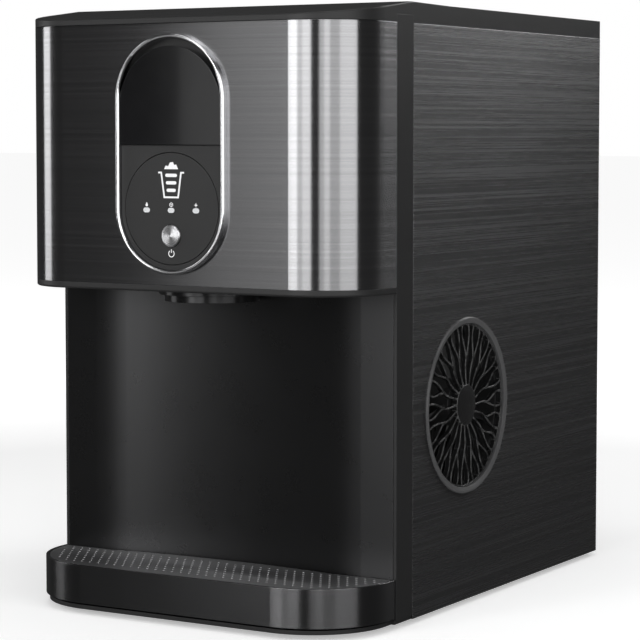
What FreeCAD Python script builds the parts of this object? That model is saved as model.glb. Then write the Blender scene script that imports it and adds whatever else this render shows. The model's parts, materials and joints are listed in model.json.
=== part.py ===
"""Self-dispensing countertop ice maker, as an assembly of separate pieces.

Lengths are millimetres. X runs to the machine's right, Y to its back and Z up. Every piece is drawn with
Y = 0 at the front of the cabinet and Z = 0 at the floor; its Placement then moves it by front_plane_y, so
that the origin is the middle of the whole machine's footprint.
"""

import math
import os
import re

import FreeCAD
import Part
import Sketcher

DIMENSIONS = {
    # cabinet
    "cabinet_width": 285.0,
    "cabinet_depth": 348.0,
    "foot_height": 4.0,
    "panel_height": 420.0,
    "sheet": 1.0,
    "base_floor": 3.0,
    "post_width": 20.5,
    "post_depth": 24.0,
    "post_rise": 5.4,
    "rail_height": 16.0,
    "corner_bend": 6.0,
    # head
    "head_reach": 66.0,
    "head_corner": 48.0,
    "head_bottom": 236.3,
    "trim_height": 4.7,
    "skin": 0.8,
    "head_wall": 2.2,
    # top cover
    "cover_back_height": 14.0,
    "cover_ridge_height": 14.8,
    "cover_ridge_y": 18.0,
    "cover_ramp": 60.0,
    "cover_front_height": 4.0,
    "cover_wall": 2.6,
    # oval
    "oval_z": 332.5,
    "oval_width": 91.0,
    "oval_height": 167.6,
    "bezel_face": 3.0,
    "bezel_proud": 4.5,
    "window_split_z": 339.0,
    "window_spring_z": 366.0,
    "window_top_z": 408.0,
    "disc_diameter": 78.0,
    "disc_z": 294.8,
    "lens_z": 293.7,
    "lens_pitch": 20.7,
    "button_diameter": 15.4,
    "button_z": 275.9,
    # cup bay
    "recess_half_width": 100.0,
    "recess_depth": 7.5,
    "recess_shoulder": 200.0,
    "column_wall": 2.5,
    "chute_y": -15.0,
    "chute_bore": 28.0,
    # drip tray
    "tray_reach": 67.6,
    "tray_corner": 61.5,
    "tray_bottom": 8.5,
    "tray_top": 36.0,
    "tray_wall": 2.4,
    "tray_grille_thickness": 1.5,
    # fan grille
    "fan_y": 108.0,
    "fan_z": 148.0,
    "ring_radius": 65.0,
    "ring_opening": 60.5,
    "ring_proud": 1.5,
    "hub_radius": 15.0,
    # back
    "rear_reach": 356.0,
    "drain_x": 95.0,
    "drain_z": 27.0,
    "inlet_x": -95.0,
    "inlet_z": 48.0,
    # ice works
    "barrel_x": -85.0,
    "barrel_y": 150.0,
    "barrel_bottom": 232.0,
    "barrel_top": 380.0,
    "barrel_bore": 22.1,
    "compressor_x": -40.0,
    "compressor_y": 268.0,
    "bin_rear": 95.0,
    "bin_bottom": 262.0,
    "bin_top": 404.0,
    "agitator_y": 42.0,
    "agitator_z": 334.0,
    "tank_front": 205.0,
    "tank_bottom": 250.0,
    "tank_top": 424.5,
    "lid_half_width": 95.0,
    "lid_front": 215.0,
    "lid_hinge_y": 331.0,
    "lid_hinge_z": 436.6,
}

document = FreeCAD.newDocument("ice_maker")
sheet = document.addObject("Spreadsheet::Sheet", "dims")
sub_parts = []


def fill_sheet():
    """Write every driving dimension into its own aliased cell."""
    for row, (alias, size) in enumerate(DIMENSIONS.items(), start=1):
        sheet.set(f"A{row}", alias)
        sheet.set(f"B{row}", str(size))
        sheet.setAlias(f"B{row}", alias)
    document.recompute()


def bound(expression):
    """Return an expression in which every alias names the sheet."""
    def with_sheet(word):
        name = word.group()
        return f"dims.{name}" if name in DIMENSIONS else name
    return re.sub(r"[a-z_]+", with_sheet, str(expression))


def size_of(expression):
    """Return the present value of an expression of aliases."""
    if isinstance(expression, (int, float)):
        return float(expression)
    return float(sheet.evalExpression(bound(expression)))


FRONT_PLANE_Y = "(head_reach + bezel_proud - rear_reach) / 2"


def keep(item, label):
    """Name a finished sub-part and move it to the machine's frame."""
    item.Label = label
    item.setExpression("Placement.Base.y", bound(FRONT_PLANE_Y))
    sub_parts.append(item)
    return item


# ---------------------------------------------------------------- sketches


def rectangle(low_a, high_a, low_b, high_b):
    """A closed outline of four straight edges."""
    return [(low_a, low_b), (high_a, low_b), (high_a, high_b), (low_a, high_b)]


def level_slot(half_straight, radius, a, b):
    """A slot on its side: two level edges and two half circles."""
    left = f"({a}) - ({half_straight})"
    right = f"({a}) + ({half_straight})"
    low = f"({b}) - ({radius})"
    high = f"({b}) + ({radius})"
    return [(right, low), (right, high, "ccw", right, b), (left, high), (left, low, "ccw", left, b)]


def stadium(half_width, half_height, a=0, b=0):
    """An upright slot: two straight sides and two half circles."""
    straight = f"({half_height}) - ({half_width})"
    low = f"({b}) - ({straight})"
    high = f"({b}) + ({straight})"
    left = f"({a}) - ({half_width})"
    right = f"({a}) + ({half_width})"
    return [(left, low), (right, low, "ccw", a, low), (right, high), (left, high, "ccw", a, high)]


class Drawing:
    """Geometry and constraints gathered for one sketch, with the expressions that drive them."""

    def __init__(self):
        self.geometry = []
        self.constraints = []
        self.expressions = []

    def add(self, curve):
        """Add a curve and return its number."""
        self.geometry.append(curve)
        return len(self.geometry) - 1

    def hold(self, kind, *target_and_size):
        """Add a dimension whose last value is an expression."""
        *target, expression = target_and_size
        self.constraints.append(Sketcher.Constraint(kind, *target, size_of(expression)))
        self.expressions.append(expression)

    def meet(self, first, first_end, second, second_end):
        """Make the ends of two curves coincide."""
        self.constraints.append(Sketcher.Constraint("Coincident", first, first_end, second, second_end))
        self.expressions.append(None)

    def pin(self, curve, point, a, b):
        """Hold one point of a curve at a place that the sheet gives."""
        self.hold("DistanceX", -1, 1, curve, point, a)
        self.hold("DistanceY", -1, 1, curve, point, b)

    def circle(self, a, b, radius):
        """Add a whole circle."""
        centre = FreeCAD.Vector(size_of(a), size_of(b), 0)
        number = self.add(Part.Circle(centre, FreeCAD.Vector(0, 0, 1), size_of(radius)))
        self.pin(number, 3, a, b)
        self.hold("Radius", number, radius)

    def outline(self, corners):
        """Join corners by straight edges, or by an arc where a corner names the arc's centre.

        A corner is (a, b), or (a, b, turn, centre_a, centre_b) when the edge that arrives at it is an arc.
        """
        edges = []
        for place, corner in enumerate(corners):
            start = FreeCAD.Vector(size_of(corners[place - 1][0]), size_of(corners[place - 1][1]), 0)
            end = FreeCAD.Vector(size_of(corner[0]), size_of(corner[1]), 0)
            if len(corner) == 2:
                edges.append((self.add(Part.LineSegment(start, end)), 1, 2))
            else:
                edges.append(self.arc(start, end, *corner[2:]))
        for place, corner in enumerate(corners):
            number, _, end_point = edges[place]
            following, start_point, _ = edges[(place + 1) % len(edges)]
            self.meet(number, end_point, following, start_point)
            self.pin(number, end_point, corner[0], corner[1])

    def arc(self, start, end, turn, centre_a, centre_b):
        """Add an arc and return its number with its first and last points."""
        centre = FreeCAD.Vector(size_of(centre_a), size_of(centre_b), 0)
        first, last = (start, end) if turn == "ccw" else (end, start)
        angles = [math.atan2(point.y - centre.y, point.x - centre.x) for point in (first, last)]
        circle = Part.Circle(centre, FreeCAD.Vector(0, 0, 1), (start - centre).Length)
        number = self.add(Part.ArcOfCircle(circle, angles[0], angles[1]))
        if abs(end.x - start.x) < abs(end.y - start.y):
            self.hold("DistanceX", -1, 1, number, 3, centre_a)
        else:
            self.hold("DistanceY", -1, 1, number, 3, centre_b)
        return (number, 1, 2) if turn == "ccw" else (number, 2, 1)

    def fill(self, sketch):
        """Put everything into a sketch and bind the sizes that name an alias."""
        sketch.addGeometry(self.geometry)
        sketch.addConstraint(self.constraints)
        for index, expression in enumerate(self.expressions):
            if expression is not None and bound(expression) != str(expression):
                sketch.setExpression(f"Constraints[{index}]", bound(expression))


def sketch_on(body, plane, at, outlines):
    """Add a sketch parallel to one of the body's own planes, holding the given outlines.

    XY sketches lie at Z = at, XZ sketches at Y = at and YZ sketches at X = at.
    """
    sketch = body.newObject("Sketcher::SketchObject", f"{body.Name}_sketch")
    origin_plane = next(item for item in body.Origin.OriginFeatures if item.Role == f"{plane}_Plane")
    sketch.AttachmentSupport = (origin_plane, [""])
    sketch.MapMode = "FlatFace"
    offset = f"-({at})" if plane == "XZ" else at
    sketch.setExpression("AttachmentOffset.Base.z", bound(offset))
    drawing = Drawing()
    for outline in outlines:
        if outline[0] == "circle":
            drawing.circle(*outline[1:])
        else:
            drawing.outline(outline)
    drawing.fill(sketch)
    return sketch


# ---------------------------------------------------------------- features


def new_body(name):
    """Start an empty body."""
    return document.addObject("PartDesign::Body", name)


def pad(body, plane, low, high, *outlines):
    """Fill the outlines between two heights along the sketch plane's axis."""
    sketch = sketch_on(body, plane, low, outlines)
    feature = body.newObject("PartDesign::Pad", f"{body.Name}_pad")
    feature.Profile = sketch
    feature.setExpression("Length", bound(f"({high}) - ({low})"))
    feature.Reversed = plane == "XZ"
    return feature


def pocket(body, plane, low, high, *outlines):
    """Cut the outlines out of the body between two heights, and insist that something is cut."""
    document.recompute()
    volume = body.Shape.Volume
    sketch = sketch_on(body, plane, low, outlines)
    feature = body.newObject("PartDesign::Pocket", f"{body.Name}_pocket")
    feature.Profile = sketch
    feature.setExpression("Length", bound(f"({high}) - ({low})"))
    feature.Reversed = plane != "XZ"
    document.recompute()
    if body.Shape.Volume > volume - 0.01:
        raise RuntimeError(f"{feature.Name} cuts nothing")
    return feature


def edges_where(body, test):
    """List the names of the body's edges that pass a test."""
    document.recompute()
    return [f"Edge{place}" for place, edge in enumerate(body.Shape.Edges, start=1) if test(edge)]


def round_edges(body, radius, test):
    """Fillet the edges that pass a test."""
    names = edges_where(body, test)
    if not names:
        raise RuntimeError(f"{body.Name} has no edge to round")
    sharp = body.Tip
    feature = body.newObject("PartDesign::Fillet", f"{body.Name}_fillet")
    feature.Base = (sharp, names)
    feature.setExpression("Radius", bound(radius))
    return feature


def spun(name, centre, facing, profile):
    """Spin a profile of (radius, height) corners about an axis through centre; height runs along facing."""
    body = new_body(name)
    sketch = sketch_on(body, "XZ", 0, [profile])
    feature = body.newObject("PartDesign::Revolution", f"{name}_turn")
    feature.Profile = sketch
    feature.ReferenceAxis = (sketch, ["V_Axis"])
    feature.Angle = 360.0
    body.Placement.Rotation = FreeCAD.Rotation(FreeCAD.Vector(0, 0, 1), FreeCAD.Vector(*facing))
    for letter, place in zip("xyz", centre):
        body.setExpression(f"Placement.Base.{letter}", bound(place))
    return body


def turned(label, centre, facing, profile):
    """Keep a spun body as a sub-part of its own."""
    body = spun(f"{label}_body", centre, facing, profile)
    keep(body, label)
    body.setExpression("Placement.Base.y", bound(f"({centre[1]}) + {FRONT_PLANE_Y}"))


# ---------------------------------------------------------------- solids


def block(name, low_x, high_x, low_y, high_y, low_z, high_z):
    """A box between two corners."""
    box = document.addObject("Part::Box", name)
    spans = {"Length": (low_x, high_x), "Width": (low_y, high_y), "Height": (low_z, high_z)}
    for (side, (low, high)), axis in zip(spans.items(), "xyz"):
        box.setExpression(side, bound(f"({high}) - ({low})"))
        box.setExpression(f"Placement.Base.{axis}", bound(low))
    return box


AXIS_TURNS = {
    "x": FreeCAD.Rotation(FreeCAD.Vector(0, 1, 0), 90),
    "y": FreeCAD.Rotation(FreeCAD.Vector(1, 0, 0), -90),
    "z": FreeCAD.Rotation(),
}


def rod(name, axis, start, length, radius):
    """A cylinder that runs from start along +X, +Y or +Z."""
    cylinder = document.addObject("Part::Cylinder", name)
    cylinder.setExpression("Radius", bound(radius))
    cylinder.setExpression("Height", bound(length))
    cylinder.Placement.Rotation = AXIS_TURNS[axis]
    for letter, place in zip("xyz", start):
        cylinder.setExpression(f"Placement.Base.{letter}", bound(place))
    return cylinder


def joined(name, *solids):
    """One solid out of several that meet."""
    fuse = document.addObject("Part::MultiFuse", name)
    fuse.Shapes = list(solids)
    fuse.Refine = True
    return fuse


def grouped(name, *solids):
    """Separate solids that share one node."""
    compound = document.addObject("Part::Compound", name)
    compound.Links = list(solids)
    return compound


def cut(name, base, *tools):
    """A solid with tools taken away."""
    difference = document.addObject("Part::Cut", name)
    difference.Base = base
    difference.Tool = tools[0] if len(tools) == 1 else grouped(f"{name}_tools", *tools)
    difference.Refine = True
    return difference


def computed(name, shape):
    """A shape that is worked out in code from the sheet's sizes."""
    feature = document.addObject("Part::Feature", name)
    feature.Shape = shape
    return feature


def pipe_path(points, bend):
    """Straight runs between points, joined by tangent arcs of one bend radius."""
    corners = [FreeCAD.Vector(*point) for point in points]
    edges = []
    start = corners[0]
    for before, corner, after in zip(corners, corners[1:], corners[2:]):
        back = (before - corner).normalize()
        ahead = (after - corner).normalize()
        half_turn = (math.pi - back.getAngle(ahead)) / 2
        reach = bend * math.tan(half_turn)
        arc_start = corner + back * reach
        arc_end = corner + ahead * reach
        middle_way = (back + ahead).normalize()
        arc_middle = corner + middle_way * (bend / math.cos(half_turn) - bend)
        edges.append(Part.LineSegment(start, arc_start).toShape())
        edges.append(Part.Arc(arc_start, arc_middle, arc_end).toShape())
        start = arc_end
    edges.append(Part.LineSegment(start, corners[-1]).toShape())
    return Part.Wire(edges)


def pipe(points, radius, bend):
    """A round bar bent along a path."""
    path = pipe_path(points, bend)
    first = path.Edges[0]
    direction = first.tangentAt(first.FirstParameter)
    section = Part.Wire([Part.makeCircle(radius, path.Edges[0].valueAt(first.FirstParameter), direction)])
    return path.makePipeShell([section], True, False)


# ---------------------------------------------------------------- outlines of the machine

HALF_WIDTH = "cabinet_width / 2"
PANEL_BOTTOM = "foot_height"
PANEL_TOP = "foot_height + panel_height"


def bowed_front(half_width, reach, corner, back="0"):
    """Plan of a front that stands out from the cabinet with two round corners."""
    inner = f"({half_width}) - ({corner})"
    shoulder = f"-({reach}) + ({corner})"
    return [
        (f"-({half_width})", back),
        (f"-({half_width})", shoulder),
        (f"-({inner})", f"-({reach})", "ccw", f"-({inner})", shoulder),
        (inner, f"-({reach})"),
        (half_width, shoulder, "ccw", inner, shoulder),
        (half_width, back),
    ]


def head_plan(inset, back="0"):
    """Plan of the head, drawn in from its outer face by an inset."""
    return bowed_front(
        f"{HALF_WIDTH} - ({inset})", f"head_reach - ({inset})", f"head_corner - ({inset})", back)


def oval(grow):
    """The upright oval of the head's front, grown or shrunk by a margin."""
    return stadium(f"oval_width / 2 + ({grow})", f"oval_height / 2 + ({grow})", 0, "oval_z")


# ---------------------------------------------------------------- cabinet


def base_pan():
    """The moulded floor, with a tongue in front that the drip tray stands on."""
    body = new_body("base_pan_body")
    side = f"{HALF_WIDTH} - sheet - 0.3"
    back = "cabinet_depth - corner_bend"
    rim_top = f"{PANEL_BOTTOM} + 14"
    pad(body, "XY", PANEL_BOTTOM, f"{PANEL_BOTTOM} + base_floor", rectangle(f"-({side})", side, 0, back))
    pad(body, "XY", PANEL_BOTTOM, rim_top, rectangle(f"-({side})", side, "post_depth + 0.3", back))
    pocket(body, "XY", f"{PANEL_BOTTOM} + base_floor", f"{rim_top} + 1", rectangle(
        f"-({side} - 3)", f"{side} - 3", "post_depth + 3", f"{back} - 3"))
    tongue = bowed_front(f"{HALF_WIDTH} - 4", "tray_reach - 1.6", "tray_corner - 3.1", "1")
    pad(body, "XY", PANEL_BOTTOM, f"{PANEL_BOTTOM} + base_floor", tongue)
    keep(body, "base_pan")


def rubber_feet():
    feet = []
    for side in (-1, 1):
        for place, y in enumerate(("44", "cabinet_depth - 26")):
            foot = document.addObject("Part::Cone", f"foot_{place}")
            foot.Radius1 = 9.0
            foot.Radius2 = 10.5
            foot.setExpression("Height", bound("foot_height"))
            foot.setExpression("Placement.Base.x", bound(f"{side} * ({HALF_WIDTH} - 24)"))
            foot.setExpression("Placement.Base.y", bound(y))
            feet.append(foot)
    keep(grouped("feet", *feet), "rubber_feet")


def front_frame():
    """Two corner posts joined by a rail at the top and one at the foot, set back where the column stands."""
    body = new_body("front_frame_body")
    opening = f"{HALF_WIDTH} - post_width"
    top = f"{PANEL_TOP} + post_rise"
    bottom = f"{PANEL_BOTTOM} + base_floor + 0.2"
    whole = rectangle(f"-({HALF_WIDTH})", HALF_WIDTH, bottom, top)
    pad(body, "XZ", 0, "post_depth", whole)
    pocket(body, "XZ", 0, "column_wall", rectangle(
        f"-({HALF_WIDTH} - 2.2)", f"{HALF_WIDTH} - 2.2", f"{bottom} - 1", f"{top} + 1"))
    pocket(body, "XZ", "column_wall", "post_depth", rectangle(
        f"-({opening})", opening, "tray_top - 6", f"{PANEL_TOP} - rail_height"))
    pocket(body, "XZ", "column_wall", "post_depth", rectangle(
        f"-({opening})", opening, PANEL_TOP, f"{top} + 1"))
    pocket(body, "XZ", "column_wall", "column_wall + recess_depth + 0.6", rectangle(
        f"-({opening})", opening, f"{bottom} - 1", "tray_top - 5"))
    keep(body, "front_frame")


def column_panel():
    body = new_body("column_panel_body")
    side = f"{HALF_WIDTH} - 2.5"
    half = "recess_half_width"
    centre = f"(recess_depth - {half}^2 / recess_depth) / 2"
    wall = "column_wall"
    plan = [
        (f"-({side})", "0"),
        (f"-{half}", "0"),
        (half, "0", "cw", "0", centre),
        (side, "0"),
        (side, wall),
        (half, wall),
        (f"-{half}", wall, "ccw", "0", f"{centre} + {wall}"),
        (f"-({side})", wall),
    ]
    pad(body, "XY", f"{PANEL_BOTTOM} + base_floor + 0.2", "head_bottom + 2", plan)
    shoulder_x = size_of(half)
    round_edges(body, "recess_shoulder", lambda edge: is_upright(edge)
                and abs(abs(edge.BoundBox.XMin) - shoulder_x) < 0.01 and abs(edge.BoundBox.YMin) < 0.01)
    keep(body, "column_panel")


def side_panel(label, side):
    body = new_body(f"{label}_body")
    outer_x = f"{side} * ({HALF_WIDTH})"
    inner_x = f"{side} * ({HALF_WIDTH} - sheet)"
    bend_x = f"{side} * ({HALF_WIDTH} - corner_bend)"
    flange_x = f"{side} * ({HALF_WIDTH} - 14)"
    bend_y = "cabinet_depth - corner_bend"
    outer_turn, inner_turn = ("ccw", "cw") if side > 0 else ("cw", "ccw")
    plan = [
        (outer_x, "post_depth + 0.15"),
        (outer_x, bend_y),
        (bend_x, "cabinet_depth", outer_turn, bend_x, bend_y),
        (flange_x, "cabinet_depth"),
        (flange_x, "cabinet_depth - sheet"),
        (bend_x, "cabinet_depth - sheet"),
        (inner_x, bend_y, inner_turn, bend_x, bend_y),
        (inner_x, "post_depth + 0.15"),
    ]
    pad(body, "XY", PANEL_BOTTOM, PANEL_TOP, plan)
    low, high = sorted((size_of(outer_x), size_of(inner_x)))
    pocket(body, "YZ", low - 1, high + 1, ("circle", "fan_y", "fan_z", "ring_radius - 2.7"))
    pocket(body, "XZ", "cabinet_depth - sheet - 0.1", "cabinet_depth + 0.1", *screw_holes(side))
    keep(body, label)


def rear_panel():
    body = new_body("rear_panel_body")
    front_y = "cabinet_depth - 2 * sheet - 0.2"
    back_y = "cabinet_depth - sheet - 0.2"
    side = f"{HALF_WIDTH} - corner_bend + 1"
    pad(body, "XZ", front_y, back_y, rectangle(f"-({side})", side, PANEL_BOTTOM, PANEL_TOP))
    column_pitch = 74
    row_pitch = 9
    lowest_z = 152
    slots = [level_slot(28, 2, column * column_pitch, lowest_z + row * row_pitch)
             for column in (-1, 0, 1) for row in range(11)]
    pocket(body, "XZ", front_y, back_y, *slots)
    pocket(body, "XZ", front_y, back_y, ("circle", "drain_x", "drain_z", "8.1"))
    pocket(body, "XZ", front_y, back_y, rectangle(
        "inlet_x - 14.1", "inlet_x + 14.1", "inlet_z - 10.1", "inlet_z + 10.1"))
    for side_sign in (-1, 1):
        pocket(body, "XZ", front_y, back_y, *screw_holes(side_sign))
    keep(body, "rear_panel")


def screw_places(side):
    """Places of the screws that hold one edge of the rear panel, as (X, Z)."""
    return [(side * 132, z) for z in (24, 152, 280, 408)]


def screw_holes(side):
    """Clearance holes for the screws of one edge."""
    return [("circle", x, z, 1.6) for x, z in screw_places(side)]


def panel_screws():
    """Pan-head screws that go through the side panels' flanges into the rear panel."""
    screws = []
    seat_y = "cabinet_depth"
    for x, z in screw_places(-1) + screw_places(1):
        head = rod("screw_head", "y", (x, seat_y, z), 1.8, 3.4)
        shank = rod("screw_shank", "y", (x, f"{seat_y} - 8", z), 8.5, 1.5)
        slot = block("screw_slot", x - 2.4, x + 2.4, f"{seat_y} + 1.1", f"{seat_y} + 2", z - 0.45, z + 0.45)
        screws.append(cut("screw", joined("screw_blank", head, shank), slot))
    keep(grouped("screws", *screws), "panel_screws")


def top_cover():
    """The lid-shaped top: it thins towards the front, rides over the posts and holds the tank's lid."""
    body = new_body("top_cover_body")
    back_top = f"{PANEL_TOP} + cover_back_height"
    ridge_top = f"{PANEL_TOP} + cover_ridge_height"
    pad(body, "XY", PANEL_TOP, f"{PANEL_TOP} + 20", head_plan("0", "cabinet_depth"))
    above = [
        ("-head_reach - 1", f"{PANEL_TOP} + cover_front_height"),
        ("cover_ridge_y", ridge_top),
        ("cover_ridge_y + cover_ramp", back_top),
        ("cabinet_depth + 1", back_top),
        ("cabinet_depth + 1", f"{PANEL_TOP} + 22"),
        ("-head_reach - 1", f"{PANEL_TOP} + 22"),
    ]
    pocket(body, "YZ", f"-({HALF_WIDTH} + 1)", f"{HALF_WIDTH} + 1", above)
    behind = size_of("cabinet_depth") - 1
    round_edges(body, "corner_bend", lambda edge: is_upright(edge) and edge.BoundBox.YMin > behind)
    front_edge_top = size_of(f"{PANEL_TOP} + cover_front_height")
    round_edges(body, 1.2, lambda edge: edge.BoundBox.ZMax < front_edge_top + 0.3
                and edge.BoundBox.ZMin > front_edge_top - 0.3)
    inner = f"{HALF_WIDTH} - cover_wall"
    under = [
        ("post_depth + 4", f"{PANEL_TOP} - 1"),
        ("post_depth + 4", f"{back_top} - cover_wall"),
        ("cabinet_depth - cover_wall", f"{back_top} - cover_wall"),
        ("cabinet_depth - cover_wall", f"{PANEL_TOP} - 1"),
    ]
    pocket(body, "YZ", f"-({inner})", inner, under)
    pocket(body, "XY", f"{PANEL_TOP} - 1", f"{PANEL_TOP} + 1.4", head_plan("cover_wall", "-0.5"))
    post_top = rectangle("0", "post_depth", f"{PANEL_TOP} - 1", f"{PANEL_TOP} + post_rise")
    for side in (-1, 1):
        low, high = sorted((side * size_of(f"{HALF_WIDTH} - post_width"), side * size_of(f"{HALF_WIDTH} + 1")))
        pocket(body, "YZ", low, high, post_top)
    lid_recess = rectangle(
        "-lid_half_width - 0.6", "lid_half_width + 0.6", "lid_front - 0.6", "lid_hinge_y + 2.1")
    lid_opening = rectangle("-lid_half_width + 9", "lid_half_width - 9", "lid_front + 9", "lid_hinge_y - 9")
    frame_outline = rectangle("-lid_half_width - 3", "lid_half_width + 3", "lid_front - 3", "lid_hinge_y + 5")
    pad(body, "XY", f"{back_top} - 5.4", f"{back_top} - 1", frame_outline)
    pocket(body, "XY", f"{back_top} - 3.3", f"{back_top} + 1", lid_recess)
    pocket(body, "XY", f"{back_top} - 6", f"{back_top}", lid_opening)
    for side in (-1, 1):
        low, high = sorted((side * size_of("lid_half_width"), side * size_of("lid_half_width + 2.2")))
        pocket(body, "YZ", low, high, ("circle", "lid_hinge_y", "lid_hinge_z", 0.8))
    keep(body, "top_cover")


def is_upright(edge):
    """Tell whether an edge is a straight one along Z."""
    box = edge.BoundBox
    return box.ZLength > 1 and box.XLength < 1e-6 and box.YLength < 1e-6


def tank_lid():
    body = new_body("tank_lid_body")
    low = "lid_hinge_z - 1.5"
    high = "lid_hinge_z + 1.5"
    profile = [
        ("lid_front", low),
        ("lid_hinge_y", low),
        ("lid_hinge_y", high, "ccw", "lid_hinge_y", "lid_hinge_z"),
        ("lid_front", high),
    ]
    pad(body, "YZ", "-lid_half_width", "lid_half_width", profile)
    pocket(body, "YZ", "-lid_half_width", "lid_half_width", ("circle", "lid_hinge_y", "lid_hinge_z", 0.85))
    finger = [
        ("-13", "lid_front - 1"),
        ("13", "lid_front - 1"),
        ("13", "lid_front + 1"),
        ("-13", "lid_front + 1", "ccw", "0", "lid_front - 9"),
    ]
    pocket(body, "XY", "lid_hinge_z - 0.4", "lid_hinge_z + 2", finger)
    keep(body, "tank_lid")


def lid_hinge_pin():
    pin_rod = rod("hinge_rod", "x", ("-lid_half_width - 2.2", "lid_hinge_y", "lid_hinge_z"),
                  "2 * lid_half_width + 4.4", 0.8)
    keep(grouped("hinge_pin", pin_rod), "lid_hinge_pin")


# ---------------------------------------------------------------- head


def head_skin():
    body = new_body("head_skin_body")
    low = "head_bottom + trim_height"
    high = f"{PANEL_TOP} - 0.3"
    pad(body, "XY", low, high, head_plan("0"))
    pocket(body, "XY", low, high, head_plan("skin", "1"))
    pocket(body, "XZ", "-head_reach - 1", "-head_reach + 5", oval("-1.5"))
    keep(body, "head_skin")


def head_shell():
    body = new_body("head_shell_body")
    floor = "head_bottom + trim_height"
    pad(body, "XY", floor, f"{PANEL_TOP} - 1", head_plan("skin + 0.2"))
    pocket(body, "XY", f"{floor} + 2", PANEL_TOP, head_plan("skin + 0.2 + head_wall", "1"))
    pad(body, "XY", "head_bottom + 0.5", floor, head_plan("4.2"))
    pocket(body, "XY", "head_bottom", f"{floor} + 3", ("circle", 0, "chute_y", "chute_bore + 2.3"))
    pocket(body, "XZ", "-head_reach", "-head_reach + 6", oval("-1.5"))
    keep(body, "head_shell")


def head_bottom_trim():
    body = new_body("head_bottom_trim_body")
    pad(body, "XY", "head_bottom", "head_bottom + trim_height", head_plan("0"))
    pocket(body, "XY", "head_bottom - 1", "head_bottom + trim_height + 1", head_plan("4", "1"))
    bottom = size_of("head_bottom")
    round_edges(body, 1.6, lambda edge: edge.BoundBox.ZMax < bottom + 0.01 and is_outer_plan_edge(edge))
    keep(body, "head_bottom_trim")


def is_outer_plan_edge(edge):
    """Tell whether an edge lies on the head's outermost outline and not across its open back."""
    middle = edge.valueAt((edge.FirstParameter + edge.LastParameter) / 2)
    half_width = size_of(HALF_WIDTH)
    reach = size_of("head_reach")
    corner = size_of("head_corner")
    beyond_x = max(abs(middle.x) - (half_width - corner), 0)
    beyond_y = max(-middle.y - (reach - corner), 0)
    on_corner = abs(math.hypot(beyond_x, beyond_y) - corner) < 0.05 and beyond_y > 0
    on_side = abs(abs(middle.x) - half_width) < 0.05
    return on_corner or on_side


def bezel_ring():
    body = new_body("bezel_ring_body")
    front = "-head_reach - bezel_proud"
    pad(body, "XZ", front, "-head_reach", oval("0"), oval("-bezel_face"))
    pad(body, "XZ", "-head_reach", "-head_reach + 5", oval("-1.8"), oval("-bezel_face"))
    front_y = size_of(front)
    round_edges(body, 1.2, lambda edge: edge.BoundBox.YMax < front_y + 0.01)
    keep(body, "bezel_ring")


def window_pane():
    body = new_body("window_pane_body")
    side = "oval_width / 2 - bezel_face - 0.15"
    rise = "window_top_z - window_spring_z"
    top_radius = f"(({side})^2 + ({rise})^2) / (2 * ({rise}))"
    outline = [
        (f"-({side})", "window_split_z + 0.4"),
        (side, "window_split_z + 0.4"),
        (side, "window_spring_z"),
        (f"-({side})", "window_spring_z", "ccw", "0", f"window_top_z - {top_radius}"),
    ]
    pad(body, "XZ", "-head_reach - 3.4", "-head_reach + 4", outline)
    keep(body, "window_pane")


POST_PLACES = ((-30, 308), (30, 308), (-24, 271), (24, 271))


def window_frame():
    """The plate behind the oval, with a view of the ice and passages for the controls."""
    body = new_body("window_frame_body")
    back = "-head_reach + 7"
    pad(body, "XZ", "-head_reach + 5", back, oval("-1.8"))
    low = "window_split_z + 4"
    opening = [
        ("-34", low),
        ("34", low),
        ("34", "window_spring_z"),
        ("-34", "window_spring_z", "ccw", "0", "window_spring_z"),
    ]
    pocket(body, "XZ", "-head_reach + 5", back, opening)
    pocket(body, "XZ", "-head_reach + 5", back, *[("circle", x, z, 2.8) for x, z in POST_PLACES])
    pocket(body, "XZ", "-head_reach + 5", back, ("circle", 0, "button_z", 3.2))
    pocket(body, "XZ", "-head_reach + 5", back, *[
        ("circle", f"{place} * lens_pitch", "lens_z", 2.4) for place in (-1, 0, 1)])
    keep(body, "window_frame")


def control_panel():
    body = new_body("control_panel_body")
    side = "oval_width / 2 - bezel_face - 0.15"
    low_centre = "oval_z - (oval_height - oval_width) / 2"
    outline = [
        (f"-({side})", "window_split_z"),
        (f"-({side})", low_centre),
        (side, low_centre, "ccw", "0", low_centre),
        (side, "window_split_z"),
    ]
    front = "-head_reach - 1.2"
    pad(body, "XZ", front, "-head_reach + 4", outline)
    pocket(body, "XZ", front, "-head_reach + 4", ("circle", 0, "disc_z", "disc_diameter / 2 + 0.5"))
    keep(body, "control_panel")


def control_disc():
    body = new_body("control_disc_body")
    front = "-head_reach - 1.2"
    back = "-head_reach + 4.5"
    pad(body, "XZ", front, "-head_reach + 1.3", ("circle", 0, "disc_z", "disc_diameter / 2"))
    for x, z in POST_PLACES:
        pad(body, "XZ", "-head_reach + 1.3", "-head_reach + 10", ("circle", x, z, 2.5))
    pocket(body, "XZ", front, back, ("circle", 0, "button_z", "button_diameter / 2 + 0.3"))
    pocket(body, "XZ", front, back, *[lens_outline(place, 0.05) for place in (-1, 0, 1)])
    keep(body, "control_disc")


def lens_outline(place, grow):
    """A lens with rounded ends, the place counting from the middle one."""
    return level_slot(0.95, 1.75 + grow, f"{place} * lens_pitch", "lens_z")


def indicator_lenses():
    lenses = []
    for place in (-1, 0, 1):
        body = new_body("lens_body")
        pad(body, "XZ", "-head_reach - 1.6", "-head_reach + 1.3", lens_outline(place, 0))
        lenses.append(body)
    keep(grouped("lenses", *lenses), "indicator_lenses")


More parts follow.
